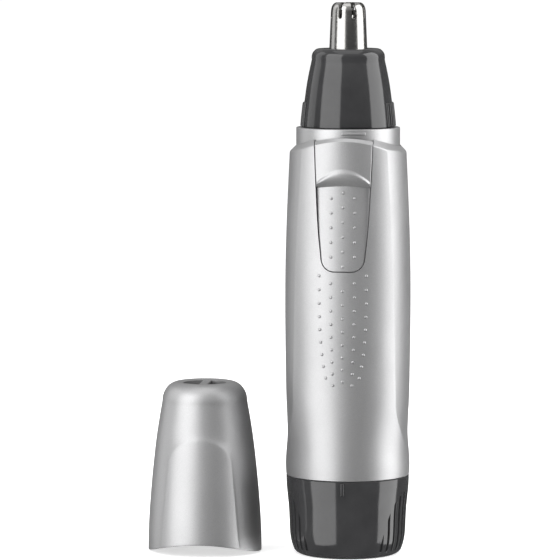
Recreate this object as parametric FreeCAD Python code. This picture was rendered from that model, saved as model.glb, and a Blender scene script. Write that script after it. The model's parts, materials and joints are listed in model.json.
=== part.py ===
import FreeCAD, Part
import math
import os
from FreeCAD import Vector

# Battery nose hair trimmer with its protective cap standing beside it.
# Millimetres. The origin is the centre of the trimmer's foot, +Z is up and the front faces -Y.

# ---- driving dimensions -------------------------------------------------------------------
SEAM_Z = 18.8                # joint line between the battery cap and the housing shell
SEAM_GAP = 0.1
SHELL_BORE_R = 12.3
LEDGE_Z = 96.4               # inner edge of the cap's seat at the sides
LEDGE_RISE = 2.9             # how much higher the seat is at the front and back
LEDGE_R = 12.4               # radius of that inner edge
LEDGE_SLOPE = 1.0            # fall of the seat per millimetre outwards
COLLAR_R = 12.2
COLLAR_TOP_Z = 100.8
BEAD_Z = (99.4, 100.1)       # two short beads that the protective cap snaps over
BEAD_HALF_ANGLE = 13.5
BEAD_CENTRES = (-79, 101)    # anticlockwise from +X, seen from above
BULKHEAD_Z = (93.5, 95.0)

# Sections of the housing: height, half width, half depth, crease radius
HOUSING_SECTIONS = (
    (18.8, 14.50, 14.50, 14.50),
    (22.1, 14.61, 14.60, 14.61),
    (25.0, 14.38, 14.60, 14.56),
    (28.0, 14.15, 14.58, 14.70),
    (33.5, 14.33, 14.60, 15.08),
    (44.8, 14.63, 14.68, 15.30),
    (60.0, 14.77, 14.80, 15.43),
    (73.2, 14.60, 14.60, 15.25),
    (84.6, 14.20, 14.20, 14.84),
    (95.0, 13.72, 13.72, 14.32),
    (101.0, 13.40, 13.40, 13.97),
)

# The creases spread slowly down the housing, then turn out to its sides above the battery cap
CREASE_ANGLE = 44.5          # from the front, at CREASE_Z
CREASE_Z = 95.0
CREASE_SPREAD = 0.135        # degrees per millimetre downwards
CREASE_TURN_Z = 36.0
CREASE_TURN_HEIGHT = 14.0
CREASE_TURN_ANGLE = 33.0
CREASE_TURN_POWER = 1.6
CREASE_MOST = 86.0

# Switch slider: half widths at heights, all on the front
SLIDER_GAP = 0.16
SLIDER_LOW_Z = 67.9
SLIDER_HALF_WIDTHS = ((102.0, 6.95), (88.0, 6.35), (76.5, 5.65), (70.1, 5.0))
SLIDER_CORNER_R = 3.0
SLIDER_BACK_R = 12.9
THUMB_LEDGE_Z = 87.7         # crest of the ledge above the thumb pad, at the centre
THUMB_LEDGE_DROP = 0.5       # how much lower the ledge ends at the slider's edges
THUMB_PAD_DEPTH = 0.95

# Switch carrier, on the inside of the shell
CARRIER_R = (11.3, 12.15)
CARRIER_Z = (69.0, 88.0)
CARRIER_HALF_WIDTH = 7.4
PEG_Z = (73.0, 87.0)
SWITCH_PAD_Z = 83.6          # the raised ends of the contact strips start here

# Cell: one AA, positive end up
CELL_R = 7.25
CELL_CAN_R = 7.05
CELL_Z = (8.5, 57.9)
CELL_NUB_R = 2.75
CELL_NUB_H = 1.1

# Battery tube and bayonet
TUBE_R = (7.6, 8.9)
TUBE_TOP_Z = 60.3
TUBE_ROOF = 1.0
SKIRT_R = (10.75, 12.25)
SKIRT_Z = (19.6, 30.0)
SPIGOT_R = (9.2, 10.6)
SPIGOT_TOP_Z = 26.0
CAP_FLOOR_Z = 1.8
CAP_POCKET_R = 11.7
LUG_R = 11.55
LUG_Z = (22.6, 24.4)
LUG_HALF_ANGLE = 9
LUG_GROOVE_R = 11.75
LUG_PLAY = 0.2
TWIST_ANGLE = 40             # from locked to free

# Motor: 20 x 15 mm flat-sided can
MOTOR_R = 10.0
MOTOR_HALF_THICK = 7.6
MOTOR_Z = (64.0, 88.0)
MOTOR_WALL = 0.8
SHAFT_R = 1.0
SHAFT_Z = (62.4, 98.5)
SHAFT_PLAY = 0.05
DECK_Z = (90.0, 93.4)
CRADLE_R = 12.2
CRADLE_FACE_Y = 8.5          # flat front face that the contact strips lie on
COLLAR_SCREW_X = 6.2
CHASSIS_SCREW = (4.5, 9.6)   # x to either side, y at the back
STRIP = 0.3                  # thickness of the contact strips

# Cutter head
NOSE_PROFILE = ((10.9, 100.9), (10.55, 104.6), (10.1, 108.2), (9.68, 111.1), (9.15, 113.9), (8.54, 116.7))
NOSE_TOP = (7.1, 119.2)
HEAD_SPIGOT_R = 9.6
HEAD_SPIGOT_Z = 95.4
CUTTER_R = (4.45, 4.08)      # outer radius at the nose and just below the crown
CUTTER_CROWN_Z = 128.0
CUTTER_TOP = (2.9, 130.0)
CUTTER_BORE_R = 3.6
CUTTER_SLOTS = 8
CUTTER_SLOT = (1.05, 3.8)    # width, depth from the top

# Protective cap: radius at heights over its lowest rim point
CAP_PROFILE = (
    (13.45, 0.0), (13.4, 4.6), (13.1, 10.3), (12.66, 16.0), (12.1, 21.6),
    (11.43, 27.3), (10.54, 33.0), (10.04, 35.8),
)
CAP_CROWN = (8.6, 39.4)
CAP_CREST = (6.3, 40.35)     # highest ring of the top, round a shallow dish
CAP_DISH = (5.3, 40.0)
CAP_VENT_R = 5.1
CAP_BRIDGE = 1.9             # width of the bar between the two half-round vents
CAP_WALL = 1.25
CAP_BORE_R = 12.32
CAP_STAND_X = -34.0          # where the cap stands beside the trimmer
CAP_SEAT_Z = 95.4            # its lowest rim point when it is on the trimmer
CAP_PANEL_PROUD = 0.35

# Grip dots: low domes on the slider and in a field under it
DOT_R = 0.38
DOT_HEIGHT = 0.22
DOT_PITCH = 3.3
DOT_TIGHTEN = 0.04           # each gap is this much smaller than the one above

FULL_TURN = 360.0


# ---- shape helpers ------------------------------------------------------------------------
def disc(radius, low, high, x=0.0, y=0.0):
    return Part.makeCylinder(radius, high - low, Vector(x, y, low))


def ring(outer, inner, low, high):
    return disc(outer, low, high).cut(disc(inner, low - 1.0, high + 1.0))


def block(x_low, x_high, y_low, y_high, z_low, z_high):
    corner = Vector(x_low, y_low, z_low)
    return Part.makeBox(x_high - x_low, y_high - y_low, z_high - z_low, corner)


def fuse(shapes):
    result = shapes[0].multiFuse(shapes[1:]) if len(shapes) > 1 else shapes[0]
    return result.removeSplitter()


def turned(shape, angle):
    copy = shape.copy()
    copy.rotate(Vector(0, 0, 0), Vector(0, 0, 1), angle)
    return copy


def around(shape, count, start=0.0):
    return [turned(shape, start + FULL_TURN * index / count) for index in range(count)]


def front_point(radius, angle, z):
    """A point at an angle from the front (-Y), positive towards +X."""
    turn = math.radians(angle)
    return Vector(radius * math.sin(turn), -radius * math.cos(turn), z)


def line(start, end):
    return Part.LineSegment(Vector(start[0], 0, start[1]), Vector(end[0], 0, end[1])).toShape()


def curve(points):
    spline = Part.BSplineCurve()
    spline.interpolate([Vector(radius, 0, z) for radius, z in points])
    return spline.toShape()


def arc_profile(start, middle, end):
    points = [Vector(radius, 0, z) for radius, z in (start, middle, end)]
    return Part.Arc(*points).toShape()


def revolve(edges):
    face = Part.Face(Part.Wire(edges))
    return face.revolve(Vector(0, 0, 0), Vector(0, 0, 1), FULL_TURN)


def polygon_revolve(points):
    return revolve([line(points[i - 1], points[i]) for i in range(len(points))])


def sector(radius, half_angle, centre_angle, low, high):
    """A wedge from the axis, centred at an angle from +X."""
    wedge = Part.makeCylinder(radius, high - low, Vector(0, 0, low), Vector(0, 0, 1), 2 * half_angle)
    return turned(wedge, centre_angle - half_angle)


def helix_spring(radius_low, radius_high, wire_r, low, high, turns):
    """A compression spring whose radius may taper."""
    steps = 16 * turns
    points = []
    for step in range(steps + 1):
        share = step / steps
        turn = 2 * math.pi * turns * share
        radius = radius_low + (radius_high - radius_low) * share
        height = low + wire_r + (high - low - 2 * wire_r) * share
        points.append(Vector(radius * math.cos(turn), radius * math.sin(turn), height))
    path = Part.BSplineCurve()
    path.interpolate(points)
    direction = path.tangent(path.FirstParameter)[0]
    section = Part.Wire(Part.Circle(points[0], direction, wire_r).toShape())
    return Part.Wire(path.toShape()).makePipeShell([section], True, True)


def wavy_loop(radius, low, rise):
    """A closed curve round the axis, higher by rise at the front and back."""
    count = 24
    points = []
    for index in range(count):
        turn = 2 * math.pi * index / count
        height = low + rise * math.sin(turn) ** 2
        points.append(Vector(radius * math.cos(turn), radius * math.sin(turn), height))
    loop = Part.BSplineCurve()
    loop.interpolate(Points=points, PeriodicFlag=True)
    return loop.toShape()


def seat_side(offset, far_z):
    """The space between the arched sloping seat, shifted by offset, and the level far_z."""
    inner_r = 10.5
    outer_r = 17.0
    loops = []
    for radius in (inner_r, outer_r):
        low = LEDGE_Z - (radius - LEDGE_R) * LEDGE_SLOPE + offset
        loops.append(wavy_loop(radius, low, LEDGE_RISE))
    centre = Vector(0, 0, far_z)
    rims = [Part.Circle(centre, Vector(0, 0, 1), radius).toShape() for radius in (inner_r, outer_r)]
    cap_face = Part.Face([Part.Wire(rims[1]), Part.Wire(rims[0])])
    faces = [
        Part.makeRuledSurface(loops[0], loops[1]),
        Part.makeRuledSurface(loops[0], rims[0]),
        Part.makeRuledSurface(loops[1], rims[1]),
        cap_face,
    ]
    shell = Part.makeShell(faces)
    shell.sewShape()
    solid = Part.makeSolid(shell)
    if solid.Volume < 0:
        solid.reverse()
    return solid


# ---- outer form of the housing ------------------------------------------------------------
def crease_angle(z):
    turned_out = min(max((CREASE_TURN_Z - z) / CREASE_TURN_HEIGHT, 0), 1) ** CREASE_TURN_POWER
    angle = CREASE_ANGLE + CREASE_SPREAD * (CREASE_Z - z) + CREASE_TURN_ANGLE * turned_out
    return min(angle, CREASE_MOST)


def housing_section(z, half_width, half_depth, crease_r):
    """Four arcs: front, right side, back and left side, meeting at the four creases."""
    angle = crease_angle(z)
    front_right = front_point(crease_r, angle, z)
    back_right = front_point(crease_r, 180 - angle, z)
    back_left = front_point(crease_r, 180 + angle, z)
    front_left = front_point(crease_r, -angle, z)
    arcs = [
        Part.Arc(front_left, Vector(0, -half_depth, z), front_right),
        Part.Arc(front_right, Vector(half_width, 0, z), back_right),
        Part.Arc(back_right, Vector(0, half_depth, z), back_left),
        Part.Arc(back_left, Vector(-half_width, 0, z), front_left),
    ]
    return Part.Wire([arc.toShape() for arc in arcs])


def housing_form():
    wires = [housing_section(*section) for section in HOUSING_SECTIONS]
    return Part.makeLoft(wires, True, False)


def slider_window(grow, stretch=0.0):
    """The tapered U outline of the slider, extruded from inside the shell to outside its front."""
    right = [Vector(half + grow, -20, z) for z, half in SLIDER_HALF_WIDTHS]
    bottom_z = SLIDER_LOW_Z - grow - stretch
    corner = SLIDER_CORNER_R + grow
    last = right[-1]
    foot_x = last.x - corner
    bend = Vector(last.x - corner * (1 - math.sqrt(0.5)), -20, bottom_z + corner * (1 - math.sqrt(0.5)))
    upright_end = Vector(last.x, -20, bottom_z + corner)
    foot = Vector(foot_x, -20, bottom_z)
    side = [Part.LineSegment(right[i], right[i + 1]).toShape() for i in range(len(right) - 1)]
    if abs(last.z - upright_end.z) > 0.01:
        side.append(Part.LineSegment(last, upright_end).toShape())
    side.append(Part.Arc(upright_end, bend, foot).toShape())
    mirror = [edge.mirror(Vector(0, 0, 0), Vector(1, 0, 0)) for edge in side]
    top = Part.LineSegment(Vector(-right[0].x, -20, right[0].z), right[0]).toShape()
    base = Part.LineSegment(foot, Vector(-foot.x, -20, foot.z)).toShape()
    edges = Part.__sortEdges__(side + mirror + [top, base])
    return Part.Face(Part.Wire(edges)).extrude(Vector(0, 20 - 5.0, 0))


def dot_column(top, count):
    """Heights of one column of dots, closing up slightly downwards."""
    return [top - DOT_PITCH * k + DOT_TIGHTEN * k * k for k in range(count)]


def housing_dot_places():
    """Shield-shaped field: five columns that draw in towards the bottom."""
    places = [(0.0, z) for z in dot_column(63.4, 8)]
    for k, z in enumerate(dot_column(66.9, 9)):
        x = 5.5 - 1.6 * (k / 8) ** 3
        places += [(-x, z), (x, z)]
    for k, z in enumerate(dot_column(65.2, 9)):
        x = 2.75 - 0.55 * (k / 8) ** 2
        places += [(-x, z), (x, z)]
    return places


def slider_dot_places():
    places = [(0.0, 86.2 - 3.42 * k) for k in range(6)]
    for k in range(5):
        places += [(-2.75, 84.9 - 3.4 * k), (2.75, 84.9 - 3.4 * k)]
    return places


def grip_dots(shape, places):
    """The shape with a low dome at each place on its front."""
    ball_r = (DOT_R ** 2 + DOT_HEIGHT ** 2) / (2 * DOT_HEIGHT)
    balls = []
    for x, z in places:
        sight = Part.LineSegment(Vector(x, -25, z), Vector(x, -5, z)).toShape()
        front = sight.common(shape).BoundBox.YMin
        out = Vector(x, front, 0).normalize()
        centre = Vector(x, front, z) + out * (DOT_HEIGHT - ball_r)
        balls.append(Part.makeSphere(ball_r, centre))
    return fuse([shape] + balls)


def housing_shell(form):
    shell = form.cut(disc(SHELL_BORE_R, 0, 140))
    shell = shell.cut(seat_side(0.0, 140.0))
    shell = shell.cut(slider_window(SLIDER_GAP))
    return grip_dots(shell, housing_dot_places())


# ---- switch -------------------------------------------------------------------------------
def thumb_pad_space():
    """What the thumb pad takes off the slider's front: deepest under the ledge, fading downwards."""
    ledge_half = SLIDER_HALF_WIDTHS[1][1]
    left = Vector(-ledge_half - 2, -20, THUMB_LEDGE_Z - THUMB_LEDGE_DROP * 1.7)
    right = Vector(ledge_half + 2, -20, THUMB_LEDGE_Z - THUMB_LEDGE_DROP * 1.7)
    crest = Vector(0, -20, THUMB_LEDGE_Z)
    low_z = 60.0
    edges = [
        Part.Arc(left, crest, right).toShape(),
        Part.LineSegment(right, Vector(right.x, -20, low_z)).toShape(),
        Part.LineSegment(Vector(right.x, -20, low_z), Vector(left.x, -20, low_z)).toShape(),
        Part.LineSegment(Vector(left.x, -20, low_z), left).toShape(),
    ]
    region = Part.Face(Part.Wire(edges)).extrude(Vector(0, 18, 0))
    low = (SLIDER_LOW_Z - 1, 14.62)
    high = (THUMB_LEDGE_Z + 1, 14.05 - THUMB_PAD_DEPTH)
    pad_core = Part.makeCone(low[1], high[1], high[0] - low[0], Vector(0, 0, low[0]))
    return region.cut(pad_core)


def switch_slider(form):
    slider = form.common(slider_window(0.0))
    slider = slider.cut(disc(SLIDER_BACK_R, 0, 140))
    slider = slider.cut(seat_side(0.0, 140.0))
    slider = slider.cut(thumb_pad_space())
    return grip_dots(slider, slider_dot_places())


def switch_carrier():
    plate = ring(CARRIER_R[1], CARRIER_R[0], *CARRIER_Z)
    plate = plate.common(block(-CARRIER_HALF_WIDTH, CARRIER_HALF_WIDTH, -13, -5, *CARRIER_Z))
    peg = ring(SLIDER_BACK_R, CARRIER_R[0], *PEG_Z)
    peg = peg.common(block(-3.0, 3.0, -14, -5, *PEG_Z))
    return fuse([plate, peg])


def switch_contact():
    """Copper bridge under the carrier, with a raised bump over each fixed strip."""
    back = -CARRIER_R[0] + 0.6
    leaf = block(-3.6, 3.6, back, back + 0.3, 76.0, 84.0)
    pad = block(-3.6, 3.6, -CARRIER_R[0] - 0.05, back, 79.0, 81.0)
    bumps = [block(x - 0.6, x + 0.6, back + 0.3, back + 1.4, 78.5, 83.0) for x in (-2.6, 2.6)]
    leaf = fuse([leaf, pad] + bumps)
    return leaf.cut(ring(14, CARRIER_R[0], 70, 90))


# ---- neck ---------------------------------------------------------------------------------
def neck_collar():
    wall = ring(COLLAR_R, HEAD_SPIGOT_R + 0.15, BULKHEAD_Z[1], COLLAR_TOP_Z)
    bulkhead = ring(COLLAR_R, 3.3, *BULKHEAD_Z)
    beads = ring(COLLAR_R + 0.22, COLLAR_R - 0.5, *BEAD_Z)
    beads = beads.common(fuse([sector(14, BEAD_HALF_ANGLE, centre, *BEAD_Z) for centre in BEAD_CENTRES]))
    collar = fuse([wall, bulkhead, beads])
    for x in (-COLLAR_SCREW_X, COLLAR_SCREW_X):
        collar = collar.cut(disc(0.95, 93, 96, x, 0))
    return collar


def collar_screws():
    screws = []
    for x in (-COLLAR_SCREW_X, COLLAR_SCREW_X):
        head = disc(1.6, BULKHEAD_Z[1], BULKHEAD_Z[1] + 1.1, x, 0)
        slot = block(x - 1.1, x + 1.1, -0.2, 0.2, BULKHEAD_Z[1] + 0.6, BULKHEAD_Z[1] + 2)
        shank = disc(0.8, DECK_Z[0] + 0.4, BULKHEAD_Z[1], x, 0)
        screws.append(fuse([head, shank]).cut(slot))
    return screws


def shaft_seal():
    return ring(3.3, SHAFT_R + 0.1, *BULKHEAD_Z)


# ---- motor --------------------------------------------------------------------------------
def flat_sided(radius, half_thick, low, high):
    return disc(radius, low, high).common(block(-20, 20, -half_thick, half_thick, low, high))


def motor_can():
    low, high = MOTOR_Z
    can = flat_sided(MOTOR_R, MOTOR_HALF_THICK, low, high)
    hollow = flat_sided(MOTOR_R - MOTOR_WALL, MOTOR_HALF_THICK - MOTOR_WALL, low - 1, high - MOTOR_WALL)
    return can.cut(hollow).cut(disc(2.9, high - 2, high + 1))


def motor_bushing():
    flange = ring(2.9, SHAFT_R + SHAFT_PLAY, MOTOR_Z[1] - MOTOR_WALL, MOTOR_Z[1] + 1.6)
    return flange


def motor_end_cap():
    low = MOTOR_Z[0] - 2.2
    plate = flat_sided(MOTOR_R - 0.3, MOTOR_HALF_THICK - 0.2, low, MOTOR_Z[0])
    boss = disc(3.0, low - 0.9, low)
    socket = disc(SHAFT_R + SHAFT_PLAY, low - 0.3, MOTOR_Z[0] + 1)
    slots = [block(x - 1.1, x + 1.1, -0.35, 0.35, low - 1, MOTOR_Z[0] + 1) for x in (-6.5, 6.5)]
    cap = fuse([plate, boss]).cut(socket)
    for slot in slots:
        cap = cap.cut(slot)
    return cap


def motor_terminals():
    low = MOTOR_Z[0] - 3.6
    return [block(x - 1.0, x + 1.0, -0.25, 0.25, low, MOTOR_Z[0] + 1.4) for x in (-6.5, 6.5)]


def motor_brushes():
    leaves = []
    for side in (-1, 1):
        x_out = side * 6.2
        x_in = side * 2.25
        low_x, high_x = min(x_out, x_in), max(x_out, x_in)
        leaves.append(block(low_x, high_x, -0.15, 0.15, MOTOR_Z[0] + 1.4, MOTOR_Z[0] + 2.4))
    return leaves


def motor_magnets():
    magnets = []
    half_thick = MOTOR_HALF_THICK - MOTOR_WALL
    for centre in (0, 180):
        wedge = sector(MOTOR_R - MOTOR_WALL, 38, centre, MOTOR_Z[0] + 3.5, MOTOR_Z[1] - 2.5)
        wedge = wedge.cut(disc(6.5, 60, 95))
        magnets.append(wedge.common(block(-20, 20, -half_thick, half_thick, 60, 95)))
    return magnets


def motor_shaft():
    return disc(SHAFT_R, *SHAFT_Z)


def motor_commutator():
    drum = ring(2.1, SHAFT_R, MOTOR_Z[0] + 0.8, MOTOR_Z[0] + 3.2)
    for cut in around(block(1.4, 3.0, -0.12, 0.12, 60, 70), 3, 30):
        drum = drum.cut(cut)
    return drum


def motor_armature():
    """Three-pole lamination stack: a hub, three arms and their curved shoes."""
    low, high = MOTOR_Z[0] + 5.0, MOTOR_Z[1] - 4.0
    hub = disc(2.6, low, high)
    arms = around(block(0, 5.4, -1.1, 1.1, low, high), 3, 90)
    shoe = ring(6.2, 5.1, low, high).common(sector(8, 50, 90, low, high))
    shoes = around(shoe, 3)
    return fuse([hub] + arms + shoes).cut(disc(SHAFT_R, 0, 140))


def motor_windings():
    """One bundle of copper round each arm."""
    low, high = MOTOR_Z[0] + 4.2, MOTOR_Z[1] - 3.2
    coil = block(2.9, 4.6, -2.0, 2.0, low, high)
    coil = coil.cut(block(2.8, 5.2, -1.1, 1.1, low + 0.8, high - 0.8))
    return around(coil, 3, 90)


# ---- chassis ------------------------------------------------------------------------------
def motor_cradle():
    """Ring round the motor, open at the front for the switch and its contact strips."""
    low = TUBE_TOP_Z
    cradle = disc(CRADLE_R, low, DECK_Z[1])
    cradle = cradle.cut(flat_sided(MOTOR_R + 0.1, MOTOR_HALF_THICK + 0.1, low - 1, DECK_Z[0]))
    cradle = cradle.cut(disc(3.2, 80, 100))
    cradle = cradle.cut(block(-8.6, 8.6, -14, -CRADLE_FACE_Y, low - 1, 100))
    cradle = cradle.cut(block(-3.6, -1.6, -9, -7, low - 1, low + 1.2))
    cradle = cradle.cut(block(-1.6, 1.6, 8.5, 14, low - 1, DECK_Z[0]))
    for x in (-COLLAR_SCREW_X, COLLAR_SCREW_X):
        cradle = cradle.cut(disc(0.8, DECK_Z[0] + 0.3, 100, x, 0))
    for x in (-CHASSIS_SCREW[0], CHASSIS_SCREW[0]):
        cradle = cradle.cut(disc(0.7, low - 1, low + 5.2, x, CHASSIS_SCREW[1]))
    return cradle


def chassis_screws():
    """Two screws up through the roof of the battery tube into the back of the cradle."""
    roof = TUBE_TOP_Z - TUBE_ROOF
    screws = []
    for x in (-CHASSIS_SCREW[0], CHASSIS_SCREW[0]):
        head = disc(1.3, roof - 1.0, roof, x, CHASSIS_SCREW[1])
        cross = fuse([
            block(x - 0.9, x + 0.9, CHASSIS_SCREW[1] - 0.2, CHASSIS_SCREW[1] + 0.2, roof - 2, roof - 0.5),
            block(x - 0.2, x + 0.2, CHASSIS_SCREW[1] - 0.9, CHASSIS_SCREW[1] + 0.9, roof - 2, roof - 0.5),
        ])
        shank = disc(0.7, roof, TUBE_TOP_Z + 5.0, x, CHASSIS_SCREW[1])
        screws.append(fuse([head, shank]).cut(cross))
    return screws


def battery_tube():
    tube = ring(TUBE_R[1], TUBE_R[0], SKIRT_Z[0] + 1.0, TUBE_TOP_Z)
    roof = disc(CRADLE_R, TUBE_TOP_Z - TUBE_ROOF, TUBE_TOP_Z)
    skirt = ring(SKIRT_R[1], SKIRT_R[0], *SKIRT_Z)
    web = ring(SKIRT_R[1], TUBE_R[0], SKIRT_Z[1] - 1.4, SKIRT_Z[1])
    rib = block(TUBE_R[1] - 0.4, CRADLE_R, -0.7, 0.7, SKIRT_Z[1], TUBE_TOP_Z)
    tube = fuse([tube, roof, skirt, web] + around(rib, 4, 45))
    for start in (0, 180):
        tube = tube.cut(bayonet_groove(start))
    tube = tube.cut(disc(3.1, TUBE_TOP_Z - 2, TUBE_TOP_Z + 1))
    tube = tube.cut(block(5.0, 7.6, -1.2, 1.2, TUBE_TOP_Z - 2, TUBE_TOP_Z + 1))
    for x in (-CHASSIS_SCREW[0], CHASSIS_SCREW[0]):
        tube = tube.cut(disc(0.8, 50, TUBE_TOP_Z + 1, x, CHASSIS_SCREW[1]))
    tube = tube.cut(block(-2.4, 2.4, -14, -9.4, 24.8, SKIRT_Z[1] + 1))
    return tube.cut(block(-2.4, 2.4, -14, -10.2, SKIRT_Z[1], TUBE_TOP_Z + 1))


def bayonet_groove(start):
    """The L-shaped lug path inside the skirt: up from below, then along to the locked place."""
    wide = LUG_HALF_ANGLE + 1.5
    low, high = LUG_Z[0] - LUG_PLAY, LUG_Z[1] + LUG_PLAY
    run_half = (TWIST_ANGLE + 2 * wide) / 2
    run = sector(LUG_GROOVE_R, run_half, start - TWIST_ANGLE / 2, low, high)
    entry = sector(LUG_GROOVE_R, wide, start - TWIST_ANGLE, SKIRT_Z[0] - 1, high)
    return fuse([run, entry]).cut(disc(SKIRT_R[0] - 0.4, 0, 140))


# ---- wiring -------------------------------------------------------------------------------
def positive_contact():
    """Plate on the cell's nub with a tab up to the motor's terminal."""
    nub_top = CELL_Z[1] + CELL_NUB_H
    plate = disc(5.0, nub_top, nub_top + 0.25)
    arm = block(4.0, 5.5, -0.8, 0.8, nub_top, nub_top + 0.25)
    tab = block(5.25, 5.5, -0.8, 0.8, nub_top, MOTOR_Z[0] - 2.9)
    return fuse([plate, arm, tab])


def negative_contact_strip():
    """From the battery cap's contact up the front of the battery tube to the switch."""
    out = -10.35
    face = -CRADLE_FACE_Y
    lower = block(-1.0, 1.0, out - STRIP, out, 26.6, 62.0)
    jog = block(-1.0, 3.4, out - STRIP, out, 61.0, 62.0)
    step = block(1.8, 3.4, out - STRIP, face, 62.0 - STRIP, 62.0)
    upper = block(1.8, 3.4, face - STRIP, face, 62.0 - STRIP, 88.0)
    pad = block(1.8, 3.4, face - 2 * STRIP, face, SWITCH_PAD_Z, 88.0)
    return fuse([lower, jog, step, upper, pad])


def motor_contact_strip():
    """From the switch down over the front of the cradle to the motor's second terminal."""
    face = -CRADLE_FACE_Y
    level = TUBE_TOP_Z + 0.15
    pad = block(-3.4, -1.8, face - 2 * STRIP, face, SWITCH_PAD_Z, 88.0)
    upper = block(-3.4, -1.8, face - STRIP, face, level, 88.0)
    arm = block(-3.4, -1.8, face - STRIP, -0.25, level, level + STRIP)
    foot = block(-7.5, -1.8, -1.2, -0.25, level, level + STRIP)
    return fuse([upper, pad, arm, foot])


# ---- battery ------------------------------------------------------------------------------
def battery_can():
    return disc(CELL_CAN_R, *CELL_Z)


def battery_sleeve():
    return ring(CELL_R, CELL_CAN_R, CELL_Z[0] + 0.4, CELL_Z[1] - 0.2)


def battery_positive_cap():
    low = CELL_Z[1]
    return fuse([disc(4.4, low, low + 0.25), disc(CELL_NUB_R, low, low + CELL_NUB_H)])


# ---- battery cap --------------------------------------------------------------------------
def battery_cap():
    top_z = SEAM_Z - SEAM_GAP
    side = curve([(12.62, 0.9), (13.25, 2.7), (13.8, 9.4), (14.32, 15.0), (14.5, 18.0), (14.5, top_z)])
    outer = revolve([
        line((0, 0), (10.8, 0)),
        arc_profile((10.8, 0), (11.97, 0.3), (12.62, 0.9)),
        side,
        line((14.5, top_z), (0, top_z)),
        line((0, top_z), (0, 0)),
    ])
    cup = outer.cut(disc(CAP_POCKET_R, CAP_FLOOR_Z, 30))
    spigot = ring(SPIGOT_R[1], SPIGOT_R[0], CAP_FLOOR_Z - 0.3, SPIGOT_TOP_Z)
    groove = ring(SPIGOT_R[1] + 1, SPIGOT_R[1] - 0.66, 19.85, 20.65)
    lug_core = disc(SPIGOT_R[1] - 0.3, 0, 40)
    lugs = [sector(LUG_R, LUG_HALF_ANGLE, angle, *LUG_Z).cut(lug_core) for angle in (0, 180)]
    pointer = block(-0.45, 0.45, -14.9, -14.0, 15.3, 18.3)
    cap = fuse([cup, spigot, pointer] + lugs)
    cap = cap.cut(groove)
    keyway = block(-1.6, 1.6, -9.6, -8, CAP_FLOOR_Z, 40)
    return cap.cut(keyway)


def grip_grooves(cap):
    """Shallow vertical grooves round both sides, tallest in the middle of each side."""
    per_side = 13
    pitch = 8.0
    for side in (0, 180):
        for index in range(per_side):
            offset = (index - (per_side - 1) / 2) * pitch
            fraction = abs(offset) / (per_side * pitch / 2)
            top = 15.3 - 14.4 * fraction ** 3.8
            groove = block(12.3, 15.5, -0.3, 0.3, 1.5, top)
            groove.rotate(Vector(12.9, 0, 1.5), Vector(0, 1, 0), 5.2)
            cap = cap.cut(turned(groove, side + offset))
    return cap


def battery_spring():
    return helix_spring(6.4, 3.0, 0.4, CAP_FLOOR_Z + 0.3, CELL_Z[0], 4)


def cap_contact_plate():
    """Disc under the spring with a long tab up the keyway of the spigot."""
    top_z = CAP_FLOOR_Z + 0.3
    plate = disc(7.6, CAP_FLOOR_Z, top_z)
    foot = block(-1.2, 1.2, -9.2, -7.0, CAP_FLOOR_Z, top_z)
    tab = block(-1.2, 1.2, -9.2, -9.0, CAP_FLOOR_Z, 28.2)
    finger = block(-1.2, 1.2, -10.2, -9.0, 27.0, 27.3)
    return fuse([plate, foot, tab, finger])


def battery_cap_o_ring():
    return Part.makeTorus(SPIGOT_R[1] - 0.29, 0.35, Vector(0, 0, 20.25))


# ---- cutter head --------------------------------------------------------------------------
def nose_cone():
    top_r, top_z = NOSE_TOP
    base_r, base_z = NOSE_PROFILE[0]
    last_r, last_z = NOSE_PROFILE[-1]
    outer = revolve([
        line((0, base_z), (base_r, base_z)),
        curve(NOSE_PROFILE),
        arc_profile((last_r, last_z), (8.12, 118.55), (top_r, top_z)),
        line((top_r, top_z), (0, top_z)),
        line((0, top_z), (0, base_z)),
    ])
    spigot = disc(HEAD_SPIGOT_R, HEAD_SPIGOT_Z, base_z + 0.5)
    pads = []
    for side in (0, 180):
        pads += [turned(block(10.0, 11.55, -0.35, 0.35, base_z, 106.6), side + offset)
                 for offset in range(-24, 25, 6)]
    limit = Part.makeCone(11.3, 10.75, 106.6 - base_z, Vector(0, 0, base_z))
    pads = [pad.common(limit) for pad in pads]
    cone = fuse([outer, spigot] + pads)
    bore = polygon_revolve([(0, 90), (8.2, 90), (8.2, 107.5), (6.6, 112.5), (6.4, 117.3), (0, 117.3)])
    groove = ring(HEAD_SPIGOT_R + 1, HEAD_SPIGOT_R - 0.85, 97.1, 98.1)
    return cone.cut(bore).cut(disc(CUTTER_R[0] + 0.05, 110, 125)).cut(groove)


def head_o_ring():
    return Part.makeTorus(HEAD_SPIGOT_R - 0.38, 0.45, Vector(0, 0, 97.6))


def head_insert():
    """Press ring that holds the cutter tube's flange up against the top of the cone."""
    body = polygon_revolve([(3.9, 108.5), (7.4, 108.5), (6.6, 112.4), (6.3, 115.8), (3.9, 115.8)])
    windows = around(block(4.9, 6.0, -1.2, 1.2, 108, 114.5), 4)
    for window in windows:
        body = body.cut(window)
    return body


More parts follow.
